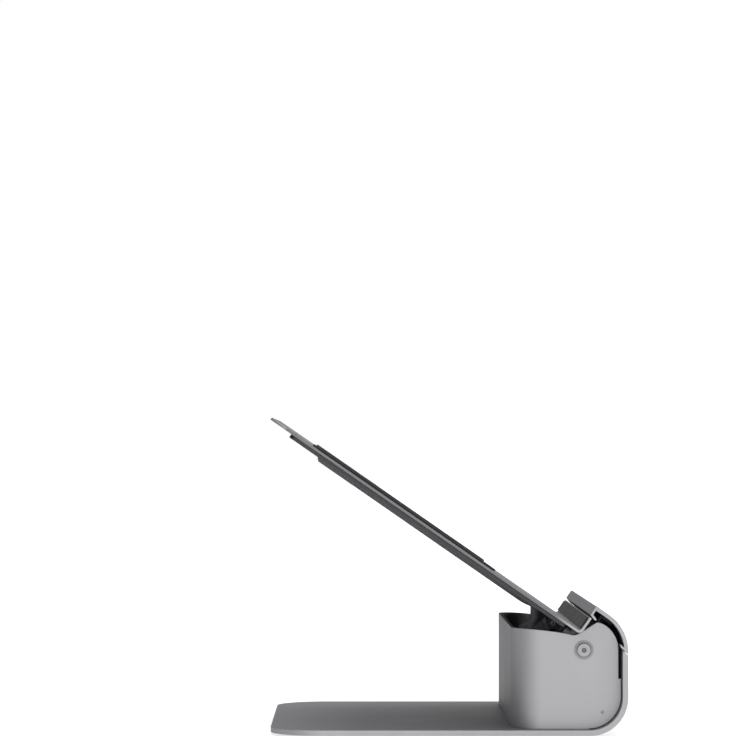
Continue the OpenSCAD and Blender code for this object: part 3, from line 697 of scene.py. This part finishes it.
def take(piece: bpy.types.Object) -> None:
    """Makes a piece the only selected and active object."""
    deselect_all()
    piece.select_set(True)
    bpy.context.view_layer.objects.active = piece


def wear(piece: bpy.types.Object, finish: Finish) -> None:
    """Puts a finish on all of a piece's material slots.

    Args:
        piece: The piece.
        finish: Its finish.
    """
    material = finish.material()
    if not piece.data.materials:
        piece.data.materials.append(material)
    for index in range(len(piece.data.materials)):
        piece.data.materials[index] = material


@dataclass
class Softened:
    """A CAD node's copy whose sharp edges are broken, as every sheet and casting has them.

    Attributes:
        node: The CAD node.
        finish: Its finish.
        edge: Width of the broken edge.
        segments: Faces across that edge.
        sharpest: Angle between faces from which an edge is broken, in degrees.
    """

    node: str
    finish: Finish
    edge: float = 0.0003
    segments: int = 3
    sharpest: float = 32.0

    def copy(self) -> bpy.types.Object:
        """Copies the node's mesh, and merges it into flat faces with shared corners.

        Returns:
            The copy, as a piece of its own.
        """
        piece = bpy.data.objects.new("soft_" + self.node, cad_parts[self.node].data.copy())
        bpy.context.scene.collection.objects.link(piece)
        take(piece)
        bpy.ops.object.mode_set(mode="EDIT")
        bpy.ops.mesh.select_all(action="SELECT")
        bpy.ops.mesh.customdata_custom_splitnormals_clear()
        bpy.ops.mesh.remove_doubles(threshold=MERGE_DISTANCE)
        bpy.ops.mesh.dissolve_limited(angle_limit=FLAT_ANGLE)
        bpy.ops.object.mode_set(mode="OBJECT")
        return piece

    def break_edges(self, piece: bpy.types.Object) -> None:
        """Rounds the piece's sharp edges."""
        bevel = piece.modifiers.new("broken_edges", "BEVEL")
        bevel.width = self.edge
        bevel.segments = self.segments
        bevel.limit_method = "ANGLE"
        bevel.angle_limit = math.radians(self.sharpest)
        bevel.use_clamp_overlap = True
        bpy.ops.object.modifier_apply(modifier=bevel.name)

    def smooth(self, piece: bpy.types.Object) -> None:
        """Shades the rounds smooth and keeps the flat faces flat."""
        bpy.ops.object.shade_smooth_by_angle(angle=SMOOTH_ANGLE)
        weighted = piece.modifiers.new("flat_faces_stay_flat", "WEIGHTED_NORMAL")
        weighted.mode = "FACE_AREA"
        weighted.weight = FLAT_FACE_WEIGHT
        weighted.keep_sharp = True
        bpy.ops.object.modifier_apply(modifier=weighted.name)

    def build(self, body: Body) -> bpy.types.Object:
        """Makes the softened copy and puts it in its node's place.

        Args:
            body: The body that the piece rides on.

        Returns:
            The new piece.
        """
        piece = self.copy()
        self.break_edges(piece)
        self.smooth(piece)
        wear(piece, self.finish)
        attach(piece, body.value)
        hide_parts(self.node)
        return piece


@dataclass
class Assembly:
    """A sub-assembly: nodes that get softened copies, and nodes that are kept as they are."""

    title: str
    body: Body
    softened: list[Softened] = field(default_factory=list)
    kept: dict[str, Finish] = field(default_factory=dict)

    def build(self) -> list[bpy.types.Object]:
        """Builds and dresses the sub-assembly's pieces.

        Returns:
            All of its pieces.
        """
        made = [soft.build(self.body) for soft in self.softened]
        for node, finish in self.kept.items():
            wear(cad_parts[node], finish)
            made.append(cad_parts[node])
        return made


def stand_parts() -> list[Assembly]:
    """The sub-assemblies of the stand.

    Returns:
        The sub-assemblies, from the base up.
    """
    return [
        Assembly("base and housing", Body.BASE, [
            Softened("base_panel", BASE_SHEET, 0.0004),
            Softened("housing", SILVER, 0.0003),
            Softened("rubber_feet", RUBBER, 0.0004),
        ], {"housing_screws": ZINC}),
        Assembly("hinge", Body.BASE, kept={
            "hinge_screw_left": SCREW, "hinge_screw_right": SCREW, "hinge_washer_left": WASHER_SHADE,
            "hinge_washer_right": WASHER_SHADE, "hinge_nut_left": ZINC, "hinge_nut_right": ZINC}),
        Assembly("chassis", Body.BASE, [
            Softened("chassis", SHADED, 0.0002),
            Softened("slot_liner", PLASTIC, 0.0002),
        ], {"chassis_screws": ZINC, "guide_rod_front": GROUND, "guide_rod_rear": GROUND,
            "rod_clips": ZINC}),
        Assembly("tray", Body.TRAY, [
            Softened("tray_panel", TRAY_SHEET, 0.0005, 4),
            Softened("front_cover", SILVER, 0.0003),
            Softened("tray_bracket", SMOKE_SHADE, 0.0003),
            Softened("lever_arm", ARM_LIGHT_AND_SHADE, 0.0003),
            Softened("tray_pad_left", RUBBER, 0.0004),
            Softened("tray_pad_right", RUBBER, 0.0004),
        ], {"cover_rail": SHADED, "rail_rivets": ZINC, "tray_rivets": ZINC, "cross_shaft": ZINC,
            "follower_pin": ZINC, "hinge_bush_left": PLASTIC,
            "hinge_bush_right": PLASTIC, "lip_strip": RUBBER}),
        Assembly("slider", Body.SLIDER, [
            Softened("slider_knob", SILVER, 0.0003),
        ], {"slider_carriage": PLASTIC, "rod_bushes": ZINC, "knob_set_screw": ZINC}),
    ]


# ---------------------------------------------------------------- studio


@dataclass(frozen=True)
class Softbox:
    """A rectangular lamp.

    Attributes:
        title: Its name.
        at: Where it stands.
        aim: The point it looks at.
        size: Width and height.
        power: Watts.
    """

    title: str
    at: Colour
    aim: Colour
    size: tuple[float, float]
    power: float

    def light(self) -> bpy.types.Object:
        """Adds the lamp.

        Returns:
            The lamp's object.
        """
        data = bpy.data.lights.new(self.title, "AREA")
        data.shape = "RECTANGLE"
        data.size, data.size_y = self.size
        data.energy = self.power
        lamp = bpy.data.objects.new(self.title, data)
        lamp.location = self.at
        aim = Vector(self.aim) - Vector(self.at)
        lamp.rotation_euler = aim.to_track_quat("-Z", "Y").to_euler()
        bpy.context.scene.collection.objects.link(lamp)
        return lamp


@dataclass(frozen=True)
class Flag:
    """A dark card that stands outside the view and takes light out of reflections.

    Attributes:
        title: Its name.
        at: Its centre.
        size: Width and height.
        normal: The direction it faces.
        tone: How light it is in reflections.
    """

    title: str
    at: Colour
    size: tuple[float, float]
    normal: Colour
    tone: float

    def hang(self) -> bpy.types.Object:
        """Adds the card, which only reflections see.

        Returns:
            The card's object.
        """
        deselect_all()
        bpy.ops.mesh.primitive_plane_add(size=1.0)
        card = bpy.context.object
        card.name = self.title
        card.scale = (self.size[0], self.size[1], 1.0)
        card.rotation_euler = Vector(self.normal).to_track_quat("Z", "Y").to_euler()
        card.location = self.at
        bpy.ops.object.transform_apply(location=True, rotation=True, scale=True)
        card.visible_camera = False
        card.visible_diffuse = False
        card.visible_shadow = False
        material = bpy.data.materials.new(self.title)
        material.use_nodes = True
        material.node_tree.nodes.clear()
        sheet = NodeSheet(material.node_tree)
        glow = sheet.feed(sheet.add("Emission"), Color=(*grey(self.tone), 1.0), Strength=1.0)
        sheet.join(glow.outputs[0], sheet.add("OutputMaterial").inputs["Surface"])
        card.data.materials.append(material)
        return card


@dataclass
class Studio:
    """The floor, the white surround, the lamps and the cards.

    Attributes:
        floor_size: Side of the floor.
        floor_tone: The floor's own colour.
        floor_lift: White near the stand besides the floor's own light, where the floor is seen.
        far_lift: The same white far from the stand.
        lift_from: Distance from the middle at which the white begins to rise.
        lift_to: Distance at which it has risen.
        ambient: Strength of the surround where it lights surfaces.
    """

    floor_size: float = 30.0
    floor_tone: float = 0.8
    floor_lift: float = 0.62
    far_lift: float = 0.9
    lift_from: float = 0.25
    lift_to: float = 0.9
    ambient: float = 0.42
    lamps: list[Softbox] = field(default_factory=lambda: [
        Softbox("key_side", (-2.7, 0.0, 0.22), (0, 0, 0.08), (2.0, 0.4), 4.5),
        Softbox("fill_right", (2.4, -0.6, 1.6), (0, 0, 0.08), (1.6, 1.2), 5.0),
        Softbox("front", (-0.4, -2.4, 1.5), (0, 0, 0.08), (1.8, 1.2), 10.0),
        Softbox("top", (0.2, 0.0, 2.2), (0, 0, 0.05), (1.4, 1.4), 20.0),
    ])
    flags: list[Flag] = field(default_factory=lambda: [
        Flag("far_card", (1.6, 0.0, 0.9), (3.6, 1.8), (-1, 0, 0), 0.42),
        Flag("rear_card", (0.0, 1.6, 0.7), (3.2, 1.4), (0, -1, 0), 0.15),
    ])

    @staticmethod
    def seen(sheet: NodeSheet) -> bpy.types.NodeSocket:
        """One where the camera, a reflection or a clear piece looks, and nought elsewhere."""
        rays = sheet.add("LightPath").outputs
        mirrored = sheet.math("MAXIMUM", rays["Is Camera Ray"], rays["Is Glossy Ray"])
        return sheet.math("MAXIMUM", mirrored, rays["Is Transmission Ray"])

    def surround(self) -> None:
        """Makes the world white where it is seen, and softer where it lights surfaces."""
        world = bpy.data.worlds.new("surround")
        bpy.context.scene.world = world
        world.use_nodes = True
        world.node_tree.nodes.clear()
        sheet = NodeSheet(world.node_tree)
        strength = sheet.math("MAXIMUM", self.ambient, self.seen(sheet))
        back = sheet.feed(sheet.add("Background"), Color=(*grey(1.0), 1.0), Strength=strength)
        sheet.join(back.outputs[0], sheet.add("OutputWorld").inputs["Surface"])

    def floor(self) -> None:
        """Lays the pale floor, which keeps the object's shadow."""
        deselect_all()
        bpy.ops.mesh.primitive_plane_add(size=self.floor_size, location=(0, 0, -FLOOR_DROP))
        plane = bpy.context.object
        plane.name = "floor"
        bpy.ops.object.transform_apply(location=True)
        material = bpy.data.materials.new("pale_floor")
        material.use_nodes = True
        material.node_tree.nodes.clear()
        sheet = NodeSheet(material.node_tree)
        own = sheet.feed(sheet.add("BsdfDiffuse"), Color=(*grey(self.floor_tone), 1.0))
        away = sheet.add("VectorMath", operation="LENGTH")
        sheet.join(sheet.add("TexCoord").outputs["Object"], away.inputs[0])
        white = sheet.remap(away.outputs["Value"], self.lift_from, self.lift_to, self.floor_lift,
                            self.far_lift)
        lift = sheet.feed(sheet.add("Emission"), Color=(*grey(1.0), 1.0),
                          Strength=sheet.math("MULTIPLY", self.seen(sheet), white))
        both = sheet.add("AddShader")
        sheet.join(own.outputs[0], both.inputs[0])
        sheet.join(lift.outputs[0], both.inputs[1])
        sheet.join(both.outputs[0], sheet.add("OutputMaterial").inputs["Surface"])
        plane.data.materials.append(material)

    def build(self) -> None:
        """Sets the studio up."""
        self.surround()
        self.floor()
        for lamp in self.lamps:
            lamp.light()
        for flag in self.flags:
            flag.hang()
        settings = bpy.context.scene.view_settings
        settings.view_transform = "Standard"


@dataclass(frozen=True)
class Camera:
    """The photograph's viewpoint.

    Attributes:
        eye: Where the camera stands.
        focal: Focal length in pixels of a picture that is this many pixels wide.
        picture: Width of that picture.
        vanish: Where lines along +X vanish in it, in pixels from its top left corner.
        sensor: Width of the sensor in millimetres.
        clip: The nearest and the farthest distance that it sees.
    """

    eye: Colour = (-2.17, 0.0608, 0.1792)
    focal: float = 3280.0
    picture: float = 736.0
    vanish: tuple[float, float] = (357.0, 451.0)
    sensor: float = 36.0
    clip: tuple[float, float] = (0.05, 60.0)

    def place(self) -> bpy.types.Object:
        """Adds the camera and makes it the scene's own.

        Returns:
            The camera's object.
        """
        data = bpy.data.cameras.new("view")
        data.sensor_width = self.sensor
        data.lens = self.focal / self.picture * self.sensor
        data.clip_start, data.clip_end = self.clip
        camera = bpy.data.objects.new("view", data)
        bpy.context.scene.collection.objects.link(camera)
        camera.location = self.eye
        middle = self.picture / 2
        side = math.atan2(middle - self.vanish[0], self.focal)
        rise = math.atan2(self.vanish[1] - middle, self.focal)
        look = Vector((math.cos(rise) * math.cos(side), -math.cos(rise) * math.sin(side),
                       math.sin(rise)))
        camera.rotation_euler = look.to_track_quat("-Z", "Y").to_euler()
        bpy.context.scene.camera = camera
        return camera


def main() -> None:
    """Builds the stand's looks, the studio and the camera."""
    logging.basicConfig(level=logging.INFO, format="%(name)s: %(message)s")
    for part in stand_parts():
        for piece in part.build():
            log.info("%s: %s, %d faces", part.title, piece.name, len(piece.data.polygons))
    Studio().build()
    Camera().place()


if __name__ == "__main__":
    main()
